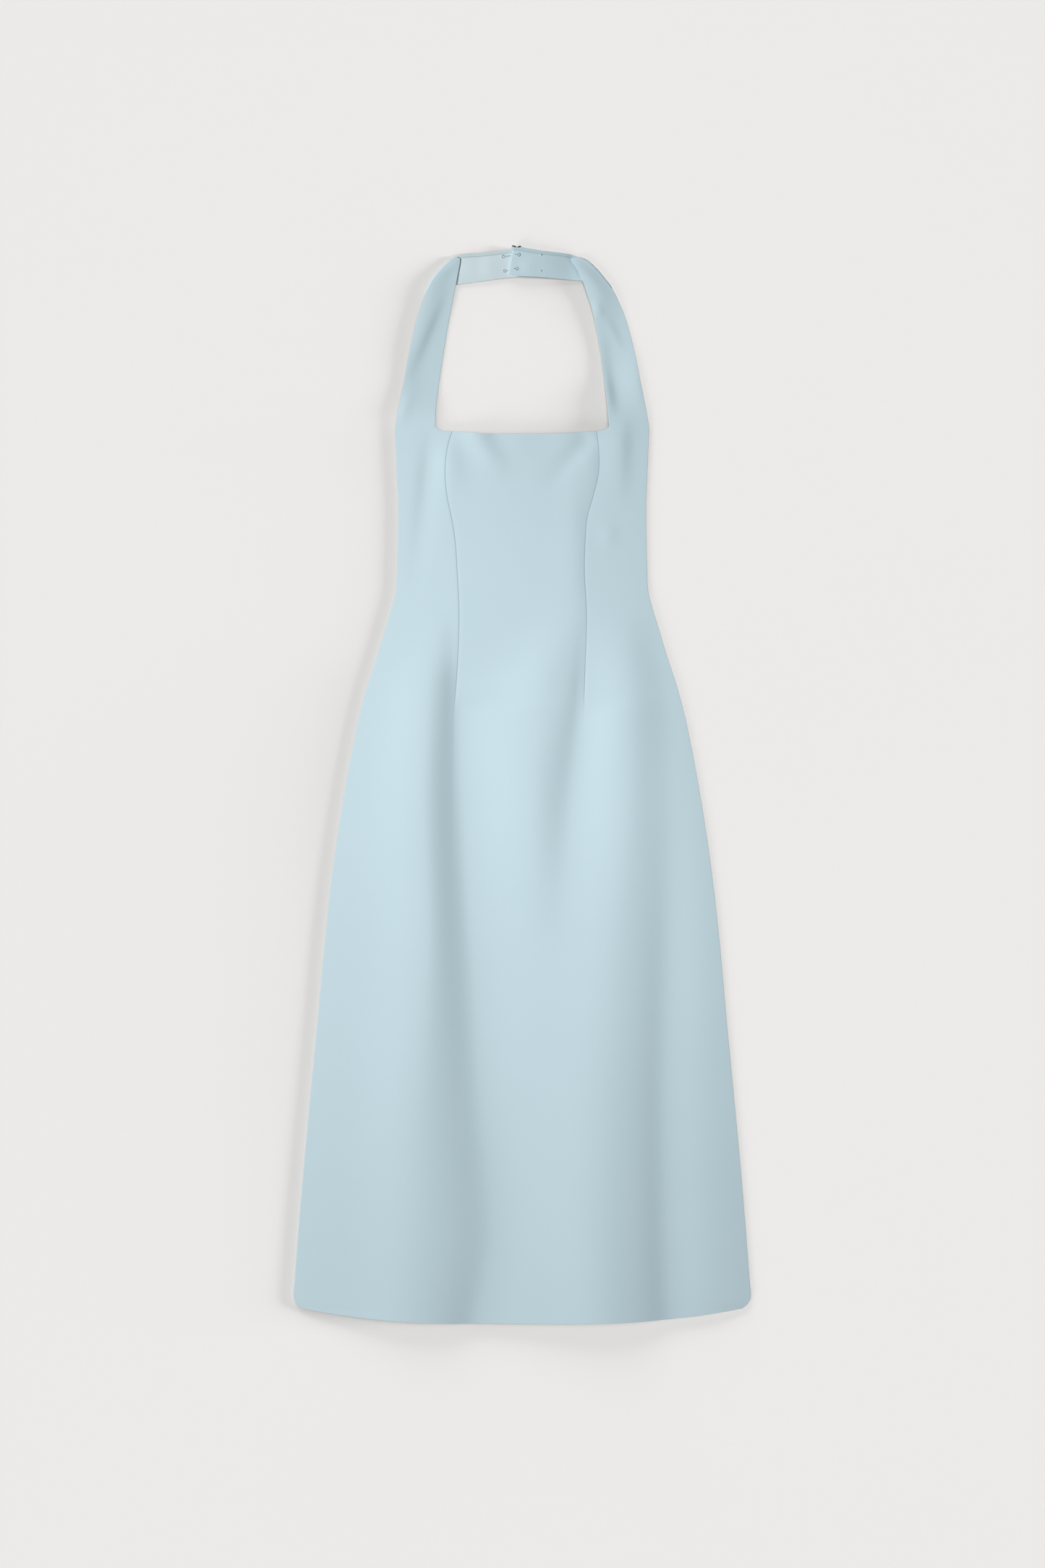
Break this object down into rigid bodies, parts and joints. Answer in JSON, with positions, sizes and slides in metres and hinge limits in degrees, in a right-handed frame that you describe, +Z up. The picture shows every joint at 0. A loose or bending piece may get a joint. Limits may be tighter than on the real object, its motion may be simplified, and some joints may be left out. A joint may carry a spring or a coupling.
{
  "type": "halter dress",
  "caption": "Long flared halter dress laid flat, front up, with a square neckline, long darts, straps cut in one with the front and a hooked neck band.",
  "frame": {"origin": "middle of the dress's box, on the surface that it lies on", "axes": "+Z up out of the surface, +Y from the hem to the neck band, +X to the right as seen from above the front"},
  "size_m": [0.6128, 1.4434, 0.0183],
  "materials": {
    "cloth": "matt, fine smooth weave",
    "zip_tape": "woven tape",
    "hook_metal": "satin wire"
  },
  "bodies": {
    "root": {"front": "cloth", "back_left": "cloth", "back_right": "cloth", "neck_band_left": "cloth", "neck_band_right": "cloth", "back_zip": "zip_tape", "hook_upper": "hook_metal", "hook_lower": "hook_metal", "eye_upper": "hook_metal", "eye_lower": "hook_metal"}
  },
  "joints": []
}
